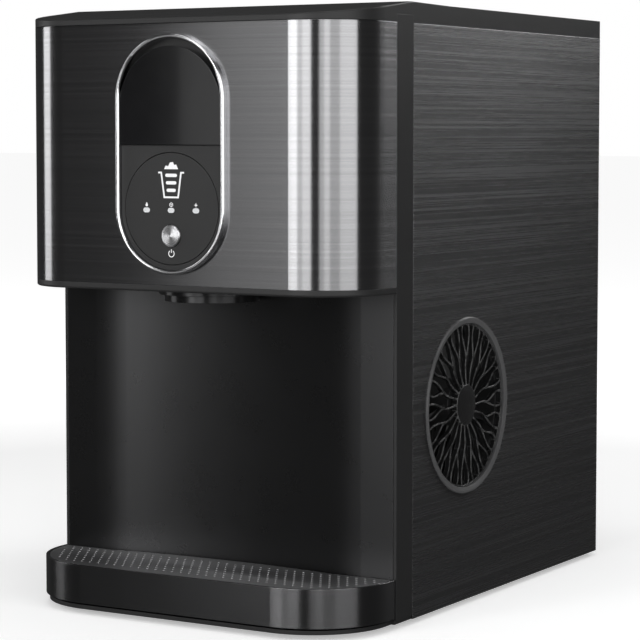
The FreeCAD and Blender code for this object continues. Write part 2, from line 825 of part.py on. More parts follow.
def power_button():
    radius = size_of("button_diameter / 2")
    turned("power_button", ("0", "-head_reach - 1.2", "button_z"), (0, -1, 0), [
        (0, -7.6),
        (2.4, -7.6),
        (2.4, -4.4),
        (radius + 1.5, -4.4),
        (radius + 1.5, -2.9),
        (radius, -2.9),
        (radius, 1.0),
        (radius - 0.7, 1.6),
        (radius - 1.6, 1.6),
        (0, 1.9),
    ])


def control_board():
    back = "-head_reach + 11.6"
    front = "-head_reach + 10"
    plate = block("board_plate", -36, 36, front, back, 262, 322)
    leds = [block(f"led_{place}", f"{place} * lens_pitch - 1.7", f"{place} * lens_pitch + 1.7",
                  "-head_reach + 8.6", front, "lens_z - 1.4", "lens_z + 1.4") for place in (-1, 0, 1)]
    chip = block("board_chip", -9, 9, back, f"{back} + 1.6", 300, 316)
    connector = block("board_connector", 14, 32, back, f"{back} + 6", 266, 274)
    keep(joined("board", plate, *leds, chip, connector), "control_board")


def tact_switch():
    case = block("switch_case", -3, 3, "-head_reach + 7.2", "-head_reach + 10", "button_z - 3", "button_z + 3")
    plunger = rod("switch_plunger", "y", ("0", "-head_reach + 6.95", "button_z"), 0.35, 1.75)
    keep(joined("switch", case, plunger), "tact_switch")


# ---------------------------------------------------------------- cup bay


def chute_outlet():
    """A round outlet under the head, cut flat behind to clear the column."""
    bore = size_of("chute_bore")
    lip = bore + 6
    flange = bore + 10
    tube_top = 19.4
    ring = spun("chute_ring", ("0", "chute_y", "head_bottom + 0.4"), (0, 0, 1), [
        (bore, -9),
        (lip, -9),
        (lip, -4),
        (flange, -4),
        (flange, 0),
        (bore + 2, 0),
        (bore + 2, tube_top),
        (bore, tube_top),
    ])
    flat_y = 5.2
    low = "head_bottom - 8.6"
    behind = block("chute_behind", -flange - 1, flange + 1, flat_y, flat_y + flange,
                   f"{low} - 1", "head_bottom + 2.4")
    half_chord = 20.2
    wall = block("chute_wall", -half_chord, half_chord, flat_y - 2, flat_y,
                 low, f"head_bottom + 0.4 + {tube_top}")
    keep(joined("chute", cut("chute_flat", ring, behind), wall), "chute_outlet")


def chute_gate():
    body = new_body("chute_gate_body")
    low = "bin_bottom - 3.4"
    pad(body, "XY", low, "bin_bottom - 1.4", rectangle(-31, 31, -47, 20))
    pad(body, "XY", low, "bin_bottom - 1.4", rectangle(-6, 6, 19, 34))
    keep(body, "chute_gate")


def tray_plan(grow, back_gap):
    """Plan of the drip tray, its back following the column's hollow."""
    corner = f"tray_corner + ({grow})"
    half_width = f"{HALF_WIDTH} - 0.5 + ({grow})"
    inner = f"({half_width}) - ({corner})"
    reach = f"-(tray_reach + ({grow}))"
    shoulder = f"{reach} + {corner}"
    half = f"(recess_half_width - 4 + ({grow}))"
    deep = "(recess_depth - 0.5)"
    centre = f"({deep} - ({half})^2 / {deep}) / 2 - ({back_gap})"
    back = f"-({back_gap})"
    return [
        (f"-({half_width})", back),
        (f"-({half_width})", shoulder),
        (f"-({inner})", reach, "ccw", f"-({inner})", shoulder),
        (inner, reach),
        (half_width, shoulder, "ccw", inner, shoulder),
        (half_width, back),
        (half, back),
        (f"-({half})", back, "ccw", "0", centre),
    ]


def drip_tray():
    body = new_body("drip_tray_body")
    pad(body, "XY", "tray_bottom", "tray_top", tray_plan("0", "0.6"))
    pocket(body, "XY", "tray_bottom + 2.2", "tray_top + 1", tray_plan("-tray_wall - 1.2", "tray_wall + 1.8"))
    pocket(body, "XY", "tray_top - tray_grille_thickness - 0.2", "tray_top + 1",
           tray_plan("-tray_wall", "tray_wall + 0.6"))
    keep(body, "drip_tray")


def drip_grille():
    body = new_body("drip_grille_body")
    low = "tray_top - tray_grille_thickness - 0.1"
    pad(body, "XY", low, "tray_top - 0.1", tray_plan("-tray_wall - 0.4", "tray_wall + 1.0"))
    holes = []
    pitch = 7.2
    hole_radius = 1.05
    for row in range(8):
        y = -8.5 - row * pitch * 0.87
        stagger = pitch / 2 if row % 2 else 0
        for column in range(-18, 19):
            x = column * pitch + stagger
            if inside_tray(x, y, 8):
                holes.append(("circle", x, y, hole_radius))
    pocket(body, "XY", low, "tray_top", *holes)
    keep(body, "drip_grille")


def inside_tray(x, y, margin):
    """Tell whether a place lies inside the tray's outline by a margin."""
    corner = size_of("tray_corner")
    beyond_x = abs(x) - (size_of(HALF_WIDTH) - 0.5 - corner)
    beyond_y = -y - (size_of("tray_reach") - corner)
    if beyond_x <= 0:
        return beyond_y < corner - margin
    return math.hypot(beyond_x, max(beyond_y, 0)) < corner - margin


# ---------------------------------------------------------------- fan grilles


def grille_ring(label, side):
    outer = size_of("ring_radius")
    opening = size_of("ring_opening")
    proud = size_of("ring_proud")
    turned(label, (f"{side} * ({HALF_WIDTH})", "fan_y", "fan_z"), (side, 0, 0), [
        (opening, -5),
        (outer - 3.0, -5),
        (outer - 3.0, 0),
        (outer, 0),
        (outer - 0.7, proud),
        (outer - 2.0, proud),
        (opening, proud - 1.1),
    ])


def polar(radius, degrees):
    """A place on the fan grille's face, in its own plane."""
    turn = math.radians(degrees)
    return FreeCAD.Vector(radius * math.cos(turn), radius * math.sin(turn), 0)


def grille_rib(places, thickness, depth):
    """A wavy rib whose middle line runs smoothly through polar places."""
    middle = Part.BSplineCurve()
    middle.interpolate([polar(radius, degrees) for radius, degrees in places])
    line = middle.toShape()
    steps = 8
    left_side = []
    right_side = []
    for step in range(steps + 1):
        at = line.FirstParameter + (line.LastParameter - line.FirstParameter) * step / steps
        along = line.tangentAt(at)
        across = FreeCAD.Vector(-along.y, along.x, 0) * (thickness / 2)
        left_side.append(line.valueAt(at) + across)
        right_side.append(line.valueAt(at) - across)
    sides = []
    for points in (left_side, right_side):
        curve = Part.BSplineCurve()
        curve.interpolate(points)
        sides.append(curve.toShape())
    ends = [Part.LineSegment(left_side[place], right_side[place]).toShape() for place in (0, -1)]
    face = Part.Face(Part.Wire(Part.__sortEdges__(sides + ends)))
    return face.extrude(FreeCAD.Vector(0, 0, depth))


def fan_grille(label, side):
    """Forked ribs between a domed hub and a thin rim, facing outwards."""
    hub = size_of("hub_radius")
    rim = size_of("ring_opening") - 0.2
    thickness = 1.15
    depth = 3.6
    forks = 20
    pieces = []
    for fork in range(forks):
        turn = 360 / forks * fork
        trunk = [(hub - 1, turn - 5), (hub + 6, turn - 1.5), (hub + 13, turn), (hub + 19, turn - 1.6)]
        fork_foot = (hub + 18.2, turn - 1.4)
        upper = [fork_foot, (hub + 25, turn + 0.6), (hub + 34, turn + 5.2), (rim - 0.6, turn + 4.5)]
        lower = [fork_foot, (hub + 25, turn - 4.2), (hub + 34, turn - 6.2), (rim - 0.6, turn - 4.5)]
        for places in (trunk, upper, lower):
            pieces.append(grille_rib(places, thickness, depth))
    band = Part.makeCylinder(rim, depth).cut(Part.makeCylinder(rim - 1.2, depth))
    boss = Part.makeCylinder(hub, depth + 0.6)
    dome_height = 2.6
    dome_radius = (hub ** 2 + dome_height ** 2) / (2 * dome_height)
    ball = Part.makeSphere(dome_radius, FreeCAD.Vector(0, 0, depth + 0.6 + dome_height - dome_radius))
    dome = ball.common(Part.makeCylinder(hub, dome_height + 1, FreeCAD.Vector(0, 0, depth + 0.5)))
    shape = band.multiFuse(pieces + [boss, dome]).removeSplitter()
    feature = document.addObject("Part::Feature", label)
    feature.Shape = shape
    keep(feature, label)
    feature.Placement.Rotation = FreeCAD.Rotation(FreeCAD.Vector(0, 0, 1), FreeCAD.Vector(side, 0, 0))
    feature.setExpression("Placement.Base.x", bound(f"{side} * ({HALF_WIDTH} - 4.8)"))
    feature.setExpression("Placement.Base.y", bound(f"fan_y + {FRONT_PLANE_Y}"))
    feature.setExpression("Placement.Base.z", bound("fan_z"))


# ---------------------------------------------------------------- air path

FAN_FRONT_X = "cabinet_width / 2 - 30.5"


def fan_frame():
    half = 60
    frame = block("fan_block", FAN_FRONT_X, f"{FAN_FRONT_X} + 25", f"fan_y - {half}", f"fan_y + {half}",
                  f"fan_z - {half}", f"fan_z + {half}")
    bore = rod("fan_bore", "x", (f"{FAN_FRONT_X} - 1", "fan_y", "fan_z"), 27, 57.5)
    holes = [rod("fan_hole", "x", (f"{FAN_FRONT_X} - 1", f"fan_y + {a}", f"fan_z + {b}"), 27, 2.2)
             for a in (-52.5, 52.5) for b in (-52.5, 52.5)]
    hub = rod("fan_hub_plate", "x", (FAN_FRONT_X, "fan_y", "fan_z"), 2.5, 20)
    long_strut = block("fan_strut_y", FAN_FRONT_X, f"{FAN_FRONT_X} + 2.5", "fan_y - 59", "fan_y + 59",
                       "fan_z - 2", "fan_z + 2")
    tall_strut = block("fan_strut_z", FAN_FRONT_X, f"{FAN_FRONT_X} + 2.5", "fan_y - 2", "fan_y + 2",
                       "fan_z - 59", "fan_z + 59")
    keep(joined("fan_body", cut("fan_shell", frame, bore, *holes), hub, long_strut, tall_strut), "fan_frame")


def fan_motor():
    motor = rod("fan_stator", "x", (f"{FAN_FRONT_X} + 2.5", "fan_y", "fan_z"), 10, 15)
    shaft_hole = rod("fan_bearing", "x", (f"{FAN_FRONT_X} + 5", "fan_y", "fan_z"), 12, 2.05)
    keep(cut("fan_motor_body", motor, shaft_hole), "fan_motor")


def fan_rotor():
    """A cup that covers the motor, its shaft and seven twisted blades."""
    start_x = size_of(FAN_FRONT_X) + 5.2
    along = FreeCAD.Vector(1, 0, 0)
    centre = FreeCAD.Vector(start_x, size_of("fan_y"), size_of("fan_z"))
    depth = 19
    cup = Part.makeCylinder(19, depth, centre, along).cut(Part.makeCylinder(16, depth - 3, centre, along))
    shaft = Part.makeCylinder(2, depth - 1, centre, along)
    blades = []
    count = 7
    reach = 55.5
    pitch_angle = 38
    for place in range(count):
        blade = Part.makeBox(17, 2, reach - 17, FreeCAD.Vector(-8.5, -1, 17))
        blade.rotate(FreeCAD.Vector(), FreeCAD.Vector(0, 0, 1), pitch_angle)
        blade.rotate(FreeCAD.Vector(), FreeCAD.Vector(1, 0, 0), 360 / count * place)
        blade.translate(centre + along * (depth / 2))
        blades.append(blade)
    envelope = Part.makeCylinder(reach, depth, centre, along)
    rotor = cup.multiFuse([blade.common(envelope) for blade in blades] + [shaft])
    keep(computed("rotor", rotor.removeSplitter()), "fan_rotor")


def condenser():
    """A stack of fins on three bent tubes, behind the fan."""
    front_x = "cabinet_width / 2 - 56"
    back_x = f"{front_x} + 24"
    low_z = "fan_z - 54"
    fins = []
    count = 34
    for place in range(count):
        y = f"fan_y - 51 + {place} * 3"
        fins.append(block(f"fin_{place}", front_x, back_x, y, f"{y} + 0.5", low_z, "fan_z + 54"))
    heights = (-36, -12, 12, 36)
    bores = [rod(f"fin_bore_{row}", "y", (f"{front_x} + 12", "fan_y - 53", f"fan_z + {height}"), 106, 4.03)
             for row, height in enumerate(heights)]
    fin_block = cut("fins", grouped("fin_stack", *fins), *bores)
    x = size_of(front_x) + 12
    fan_y = size_of("fan_y")
    fan_z = size_of("fan_z")
    near = fan_y - 64
    far = fan_y + 64
    path = [
        (x, far, fan_z - 36), (x, near, fan_z - 36), (x, near, fan_z - 12), (x, far - 2, fan_z - 12),
        (x, far - 2, fan_z + 12), (x, near, fan_z + 12), (x, near, fan_z + 36), (x, far, fan_z + 36),
    ]
    tube = computed("condenser_pipe", pipe(path, 4, 10))
    keep(grouped("condenser_core", fin_block, tube), "condenser")


def condenser_bracket():
    """Two rails that carry the condenser on the base pan."""
    front_x = "cabinet_width / 2 - 56"
    rails = []
    for name, low, high in (("near", -47, -37), ("far", 37, 47)):
        foot = block(f"bracket_foot_{name}", f"{front_x}", f"{front_x} + 24", f"fan_y + {low}",
                     f"fan_y + {high}", f"{PANEL_BOTTOM} + 3", f"{PANEL_BOTTOM} + 5")
        stand = block(f"bracket_stand_{name}", f"{front_x}", f"{front_x} + 2", f"fan_y + {low}",
                      f"fan_y + {high}", f"{PANEL_BOTTOM} + 3", "fan_z - 54.2")
        shelf = block(f"bracket_shelf_{name}", f"{front_x}", f"{front_x} + 24", f"fan_y + {low}",
                      f"fan_y + {high}", "fan_z - 56.2", "fan_z - 54.2")
        rails.append(joined(f"bracket_{name}", foot, stand, shelf))
    keep(grouped("brackets", *rails), "condenser_bracket")


# ---------------------------------------------------------------- refrigeration


def compressor():
    """A welded steel can on a foot plate that hangs in four rubber mounts."""
    radius = 52
    can = spun("compressor_can", ("compressor_x", "compressor_y", f"{PANEL_BOTTOM} + 13"), (0, 0, 1), [
        (0, 0),
        (radius - 14, 0),
        (radius, 14, "ccw", radius - 14, 14),
        (radius, 62),
        (radius + 2.5, 62),
        (radius + 2.5, 66),
        (radius, 66),
        (radius, 112),
        (radius - 22, 134, "ccw", radius - 22, 112),
        (0, 134),
    ])
    plate = block("plate", "compressor_x - 56", "compressor_x + 56", "compressor_y - 46", "compressor_y + 46",
                  f"{PANEL_BOTTOM} + 11", f"{PANEL_BOTTOM} + 13")
    holes = [rod("plate_hole", "z", (x, y, f"{PANEL_BOTTOM} + 10"), 4, 4.2) for x, y in mount_places()]
    keep(joined("compressor_welded", can, cut("foot_plate", plate, *holes)), "compressor")


def mount_places():
    """Places of the compressor's four rubber mounts, as expressions of X and Y."""
    return [(f"compressor_x + {a}", f"compressor_y + {b}") for a in (-48, 48) for b in (-38, 38)]


def compressor_mounts():
    mounts = []
    for x, y in mount_places():
        lower = rod("mount_lower", "z", (x, y, f"{PANEL_BOTTOM} + 3"), 8, 7.5)
        neck = rod("mount_neck", "z", (x, y, f"{PANEL_BOTTOM} + 11"), 2, 4.0)
        upper = rod("mount_upper", "z", (x, y, f"{PANEL_BOTTOM} + 13"), 3, 6.5)
        mounts.append(joined("mount", lower, neck, upper))
    keep(grouped("mounts", *mounts), "compressor_mounts")


def filter_drier():
    turned("filter_drier", ("cabinet_width / 2 - 44", "fan_y + 92", "fan_z - 36"), (0, 1, 0), [
        (0, -20),
        (3, -20),
        (3, -14),
        (9.5, -8),
        (9.5, 30),
        (3, 36),
        (3, 42),
        (0, 42),
    ])


def refrigerant_lines():
    condenser_x = size_of("cabinet_width / 2 - 44")
    fan_y = size_of("fan_y")
    fan_z = size_of("fan_z")
    can_x = size_of("compressor_x")
    can_y = size_of("compressor_y")
    barrel_x = size_of("barrel_x")
    barrel_y = size_of("barrel_y")
    can_top = size_of(f"{PANEL_BOTTOM}") + 147.1
    high_z = fan_z + 36
    low_z = fan_z - 36
    insulation = 48.3
    discharge = [
        (can_x + 30, can_y, can_top),
        (can_x + 30, can_y, high_z),
        (condenser_x, can_y, high_z),
        (condenser_x, fan_y + 64.2, high_z),
    ]
    liquid = [
        (condenser_x, fan_y + 134.2, low_z),
        (condenser_x, fan_y + 198, low_z),
        (condenser_x, fan_y + 198, 225),
        (barrel_x + 56, fan_y + 198, 225),
        (barrel_x + 56, barrel_y, 225),
        (barrel_x + 56, barrel_y, 262),
        (barrel_x + insulation, barrel_y, 262),
    ]
    suction = [
        (can_x - 30, can_y, can_top),
        (can_x - 30, can_y, 243),
        (barrel_x, can_y, 243),
        (barrel_x, barrel_y + insulation, 243),
    ]
    lines = [
        computed("discharge_line", pipe(discharge, 2.5, 9)),
        computed("liquid_line", pipe(liquid, 2, 6)),
        computed("suction_line", pipe(suction, 3.2, 7)),
    ]
    keep(grouped("lines", *lines), "refrigerant_lines")


# ---------------------------------------------------------------- ice maker


def motor_bracket():
    """A bent plate from the base pan up to a shelf that carries the gearbox."""
    wall_x = "barrel_x - 46"
    wall = block("bracket_wall", wall_x, f"{wall_x} + 2", "barrel_y - 40", "barrel_y + 40",
                 f"{PANEL_BOTTOM} + 3", "barrel_bottom - 40")
    shelf = block("bracket_shelf", wall_x, "barrel_x + 40", "barrel_y - 40", "barrel_y + 40",
                  "barrel_bottom - 42", "barrel_bottom - 40")
    foot = block("bracket_foot", wall_x, f"{wall_x} + 22", "barrel_y - 40", "barrel_y + 40",
                 f"{PANEL_BOTTOM} + 3", f"{PANEL_BOTTOM} + 5")
    hole = rod("bracket_hole", "z", ("barrel_x", "barrel_y", "barrel_bottom - 43"), 4, 27)
    keep(cut("bracket", joined("bracket_sheet", wall, shelf, foot), hole), "motor_bracket")


def auger_motor():
    can = rod("motor_can", "z", ("barrel_x", "barrel_y", "barrel_bottom - 104"), 64, 26)
    cap = rod("motor_cap", "z", ("barrel_x", "barrel_y", "barrel_bottom - 110"), 6, 12)
    keep(joined("motor", can, cap), "auger_motor")


def auger_gearbox():
    case = block("gear_case", "barrel_x - 36", "barrel_x + 36", "barrel_y - 36", "barrel_y + 36",
                 "barrel_bottom - 40", "barrel_bottom")
    socket = rod("gear_socket", "z", ("barrel_x", "barrel_y", "barrel_bottom - 12"), 13, 6.05)
    keep(cut("gearbox", case, socket), "auger_gearbox")


def evaporator_barrel():
    bore = size_of("barrel_bore")
    length = size_of("barrel_top - barrel_bottom")
    turned("evaporator_barrel", ("barrel_x", "barrel_y", "barrel_bottom"), (0, 0, 1), [
        (bore, 0.2),
        (32, 0.2),
        (32, 5),
        (27, 5),
        (27, length - 5),
        (31, length - 5),
        (31, length),
        (bore, length),
    ])


def barrel_insulation():
    length = size_of("barrel_top - barrel_bottom")
    turned("barrel_insulation", ("barrel_x", "barrel_y", "barrel_bottom"), (0, 0, 1), [
        (27.2, 6),
        (46, 6),
        (48, 8),
        (48, length - 8),
        (46, length - 6),
        (27.2, length - 6),
    ])


def ice_auger():
    """A shaft with a helical flight that scrapes the barrel's bore."""
    bottom = size_of("barrel_bottom")
    top = size_of("barrel_top")
    place = FreeCAD.Vector(size_of("barrel_x"), size_of("barrel_y"), 0)
    up = FreeCAD.Vector(0, 0, 1)
    core_radius = 11
    flight_radius = size_of("barrel_bore") - 0.5
    pitch = 26
    low = 14
    flight_height = top - bottom - 2 * low
    helix = Part.makeHelix(pitch, flight_height, core_radius)
    profile = Part.makePolygon([
        FreeCAD.Vector(core_radius - 1, 0, -1.6),
        FreeCAD.Vector(flight_radius, 0, -0.9),
        FreeCAD.Vector(flight_radius, 0, 0.9),
        FreeCAD.Vector(core_radius - 1, 0, 1.6),
        FreeCAD.Vector(core_radius - 1, 0, -1.6),
    ])
    flight = Part.Wire(helix).makePipeShell([profile], True, True)
    flight.translate(place + up * (bottom + low))
    core = Part.makeCylinder(core_radius, top - bottom - 3, place + up * (bottom + 1.5), up)
    lower_end = Part.makeCylinder(6, 12, place + up * (bottom - 10), up)
    upper_end = Part.makeCylinder(6, 16, place + up * (top - 2), up)
    keep(computed("auger", core.multiFuse([flight, lower_end, upper_end])), "ice_auger")


def extruder_head():
    body = new_body("extruder_body")
    top = "barrel_top + 16"
    pad(body, "XY", "barrel_top + 0.1", top, ("circle", "barrel_x", "barrel_y", 30))
    pocket(body, "XY", "barrel_top", f"{top} + 1", ("circle", "barrel_x", "barrel_y", 6.06))
    centre_x = size_of("barrel_x")
    centre_y = size_of("barrel_y")
    holes = []
    for place in range(8):
        turn = 2 * math.pi * place / 8
        holes.append(("circle", centre_x + 15.5 * math.cos(turn), centre_y + 15.5 * math.sin(turn), 5))
    pocket(body, "XY", "barrel_top", f"{top} + 1", *holes)
    keep(body, "extruder_head")


def ice_guide():
    """A covered channel that turns the nuggets forwards, over the bin's rear wall."""
    low = "barrel_top + 16.2"
    high = "bin_top + 22"
    body = new_body("guide_body")
    pad(body, "YZ", "barrel_x - 30", "barrel_x + 30", [
        ("barrel_y + 32", high),
        ("barrel_y + 32", low),
        ("bin_rear + 2", low),
        ("bin_rear + 2", "bin_top + 2"),
        ("bin_rear - 22", "bin_top + 2"),
        ("bin_rear - 22", high),
    ])
    pocket(body, "YZ", "barrel_x - 27.5", "barrel_x + 27.5", [
        ("bin_rear - 23", "bin_top + 5"),
        ("bin_rear + 6", "bin_top + 5"),
        ("bin_rear + 24", f"{low} - 1"),
        ("barrel_y + 29", f"{low} - 1"),
        ("barrel_y + 29", f"{high} - 2.5"),
        ("bin_rear - 23", f"{high} - 2.5"),
    ])
    keep(body, "ice_guide")


def ice_bin():
    body = new_body("ice_bin_body")
    front = "-head_reach + 24"
    half = 96
    wall = 2.2
    pad(body, "YZ", -half, half, [
        (front, "bin_bottom"),
        (24, "bin_bottom"),
        ("bin_rear", "bin_bottom + 32"),
        ("bin_rear", "bin_top"),
        (front, "bin_top"),
    ])
    pocket(body, "YZ", -half + wall, half - wall, [
        (f"{front} + {wall}", f"bin_bottom + {wall}"),
        (23.5, f"bin_bottom + {wall}"),
        (f"bin_rear - {wall}", f"bin_bottom + {wall} + 31.5"),
        (f"bin_rear - {wall}", "bin_top + 1"),
        (f"{front} + {wall}", "bin_top + 1"),
    ])
    pocket(body, "XY", "bin_bottom - 1", "bin_bottom + 4", ("circle", 0, "chute_y", "chute_bore - 4"))
    rail_bottom = "bin_bottom - 5.4"
    for side in (-1, 1):
        low, high = sorted((side * 29, side * 36))
        pad(body, "XY", rail_bottom, "bin_bottom + 0.5", rectangle(low, high, -41, 24))
        pad(body, "XY", rail_bottom, "bin_bottom - 0.5", rectangle(low, high, 23, 88))
        slot_low, slot_high = sorted((side * 28, side * 31.4))
        pocket(body, "XY", "bin_bottom - 3.7", "bin_bottom - 1.1", rectangle(slot_low, slot_high, -42, 89))
    bearing = ("circle", "agitator_y", "agitator_z", 5.06)
    pocket(body, "YZ", half - wall - 1, half + 1, bearing)
    pocket(body, "YZ", -half - 1, -half + wall + 1, bearing)
    keep(body, "ice_bin")


def bin_agitator():
    """A cross shaft with paddles that keeps the ice loose."""
    shaft = rod("agitator_shaft", "x", (-98, "agitator_y", "agitator_z"), 204, 5)
    arm = 32
    pitch = 30
    first_x = -75
    paddles = []
    for place in range(6):
        x = first_x + pitch * place
        if place % 2:
            paddle = rod("level_paddle", "y", (x, f"agitator_y - {arm}", "agitator_z"), 2 * arm, 3.2)
        else:
            paddle = rod("upright_paddle", "z", (x, "agitator_y", f"agitator_z - {arm}"), 2 * arm, 3.2)
        paddles.append(paddle)
    keep(joined("agitator", shaft, *paddles), "bin_agitator")


def agitator_motor():
    gear_case = rod("agitator_case", "x", (97, "agitator_y", "agitator_z"), 14, 24)
    can = rod("agitator_can", "x", (111, "agitator_y", "agitator_z"), 22, 17)
    socket = rod("agitator_socket", "x", (96, "agitator_y", "agitator_z"), 11, 5.05)
    keep(cut("agitator_drive", joined("agitator_blank", gear_case, can), socket), "agitator_motor")


# ---------------------------------------------------------------- water


def water_tank():
    body = new_body("water_tank_body")
    half = 128
    wall = 2.5
    back = "cabinet_depth - 10"
    pad(body, "XY", "tank_bottom", "tank_top", rectangle(-half, half, "tank_front", back))
    pocket(body, "XY", f"tank_bottom + {wall}", "tank_top + 1", rectangle(
        -half + wall, half - wall, f"tank_front + {wall}", f"{back} - {wall}"))
    round_edges(body, 1.0, lambda edge: is_upright(edge) and abs(edge.BoundBox.XMin) > half - 0.1)
    pocket(body, "XY", "tank_bottom - 1", "tank_bottom + 3", ("circle", 70, 275, 5))
    keep(body, "water_tank")


def float_rod():
    stem = rod("float_stem", "z", ("95", "318", "tank_bottom + 2.5"), 100, 2.5)
    stop = rod("float_stop", "z", ("95", "318", "tank_bottom + 2.5"), 6, 6)
    cap = rod("float_cap", "z", ("95", "318", "tank_bottom + 98"), 4.5, 6)
    keep(joined("float_post", stem, stop, cap), "float_rod")


def tank_float():
    turned("tank_float", ("95", "318", "tank_bottom + 8.6"), (0, 0, 1), [
        (2.6, 0),
        (11, 0),
        (12.5, 1.5),
        (12.5, 16.5),
        (11, 18),
        (2.6, 18),
    ])


def water_pump():
    volute = rod("pump_volute", "z", ("70", "275", "tank_bottom - 34"), 20, 22)
    motor = rod("pump_motor", "z", ("70", "275", "tank_bottom - 62"), 28, 17)
    inlet = rod("pump_inlet", "z", ("70", "275", "tank_bottom - 14"), 17, 4.9)
    outlet = rod("pump_outlet", "y", ("55", "240", "tank_bottom - 24"), 30, 4)
    keep(joined("pump", volute, motor, inlet, outlet), "water_pump")


def water_hose():
    z = size_of("tank_bottom") - 24
    barrel_x = size_of("barrel_x")
    barrel_y = size_of("barrel_y")
    across_y = 196
    down_x = -18
    entry_y = barrel_y - 14
    path = [
        (55, 240, z),
        (55, across_y, z),
        (down_x, across_y, z),
        (down_x, entry_y, z),
        (barrel_x + 36.2, entry_y, z),
    ]
    keep(computed("hose", pipe(path, 4, 12)), "water_hose")


# ---------------------------------------------------------------- back


def power_inlet():
    front = "cabinet_depth - 2 * sheet - 0.2"
    back = "cabinet_depth - sheet - 0.2"
    flange = block("inlet_flange", "inlet_x - 17", "inlet_x + 17", back, f"{back} + 2.5",
                   "inlet_z - 13", "inlet_z + 13")
    case = block("inlet_case", "inlet_x - 14", "inlet_x + 14", f"{front} - 20", f"{back} + 1",
                 "inlet_z - 10", "inlet_z + 10")
    socket = block("inlet_socket", "inlet_x - 12", "inlet_x + 12", f"{front} - 15", f"{back} + 3",
                   "inlet_z - 8", "inlet_z + 8")
    pins = []
    for x, z in ((-7, -1), (0, 2), (7, -1)):
        pins.append(block("inlet_pin", f"inlet_x + {x} - 1", f"inlet_x + {x} + 1",
                          f"{front} - 16", f"{front} - 8", f"inlet_z + {z} - 2", f"inlet_z + {z} + 2"))
    keep(joined("inlet", cut("inlet_shell", joined("inlet_blank", flange, case), socket), *pins), "power_inlet")


def drain_spout():
    turned("drain_spout", ("drain_x", "cabinet_depth - sheet - 0.2", "drain_z"), (0, 1, 0), [
        (5, -26),
        (8, -26),
        (8, 0),
        (11, 0),
        (11, 3),
        (5, 3),
    ])


def drain_plug():
    turned("drain_plug", ("drain_x", "cabinet_depth - sheet - 0.2", "drain_z"), (0, 1, 0), [
        (0, -14),
        (4.2, -14),
        (4.92, -12),
        (4.92, 3.1),
        (10, 3.1),
        (10, 6.2),
        (9, size_of("rear_reach - cabinet_depth + sheet + 0.2")),
        (0, size_of("rear_reach - cabinet_depth + sheet + 0.2")),
    ])


# ---------------------------------------------------------------- build and write


def check_document():
    """Stop with a plain message if any object failed or any sub-part is not a sound shape."""
    document.recompute()
    for item in document.Objects:
        if {"Invalid", "Error"} & set(item.State):
            raise RuntimeError(f"{item.Name} ({item.Label}) failed: {item.State}")
    for item in sub_parts:
        if item.Shape.isNull() or not item.Shape.isValid() or not item.Shape.Solids:
            raise RuntimeError(f"{item.Label} has no sound shape")


def write_parts():
    """Write each sub-part's shape to its own STEP file."""
    os.makedirs("parts", exist_ok=True)
    for item in sub_parts:
        item.Shape.exportStep(os.path.join("parts", f"{item.Label}.step"))


def build():
    fill_sheet()
    base_pan()
    rubber_feet()
    front_frame()
    column_panel()
    for name, side in (("right", 1), ("left", -1)):
        side_panel(f"{name}_side_panel", side)
        grille_ring(f"{name}_grille_ring", side)
        fan_grille(f"{name}_fan_grille", side)
    rear_panel()
    panel_screws()
    top_cover()
    tank_lid()
    lid_hinge_pin()
    head_skin()
    head_shell()
    head_bottom_trim()
    bezel_ring()
    window_pane()
    window_frame()
    control_panel()
    control_disc()
    indicator_lenses()
    power_button()
    control_board()
    tact_switch()
    chute_outlet()
    chute_gate()
    drip_tray()
    drip_grille()
    fan_frame()
    fan_motor()
    fan_rotor()
    condenser()
    condenser_bracket()
    compressor()
    compressor_mounts()
    filter_drier()
    refrigerant_lines()
    motor_bracket()
    auger_motor()
    auger_gearbox()
    evaporator_barrel()
    barrel_insulation()
    ice_auger()
    extruder_head()
    ice_guide()
    ice_bin()
    bin_agitator()
    agitator_motor()
    water_tank()
    float_rod()
    tank_float()
    water_pump()
    water_hose()
    power_inlet()
    drain_spout()
    drain_plug()
    check_document()
    write_parts()


build()
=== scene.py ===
"""Looks of the self-dispensing ice maker: materials, printed icons, studio and camera.

Lengths are metres. X runs to the machine's right, Y to its back and Z up.
"""

import json
import math

import bpy
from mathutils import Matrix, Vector


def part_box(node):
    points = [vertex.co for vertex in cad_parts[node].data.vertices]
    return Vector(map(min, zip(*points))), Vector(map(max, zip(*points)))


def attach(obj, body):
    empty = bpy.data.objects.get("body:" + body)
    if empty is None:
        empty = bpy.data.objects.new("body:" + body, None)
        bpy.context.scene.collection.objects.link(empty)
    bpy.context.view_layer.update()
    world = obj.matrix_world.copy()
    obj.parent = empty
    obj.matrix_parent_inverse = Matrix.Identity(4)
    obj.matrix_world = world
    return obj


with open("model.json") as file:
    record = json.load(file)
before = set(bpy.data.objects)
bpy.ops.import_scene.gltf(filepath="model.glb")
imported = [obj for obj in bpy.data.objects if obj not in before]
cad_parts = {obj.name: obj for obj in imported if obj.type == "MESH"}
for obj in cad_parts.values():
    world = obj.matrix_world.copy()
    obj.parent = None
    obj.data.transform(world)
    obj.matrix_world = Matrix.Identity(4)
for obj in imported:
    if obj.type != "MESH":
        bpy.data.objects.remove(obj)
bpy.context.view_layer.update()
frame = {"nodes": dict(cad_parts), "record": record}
MM = 0.001

# the finest relief of a surface, and the thickness of printed ink
FINE_RELIEF = 0.00005
INK_THICKNESS = 0.00012

# a turn of 90 degrees as the shader counts it, and the strength of the painted glow given to the printed
# icons, which are no lamp
QUARTER_TURN = 0.25
PAINTED_INK_GLOW = 0.3

# a Mix node's sockets for colours
COLOUR_A = 6
COLOUR_B = 7
COLOUR_RESULT = 2


# ---------------------------------------------------------------- node helpers


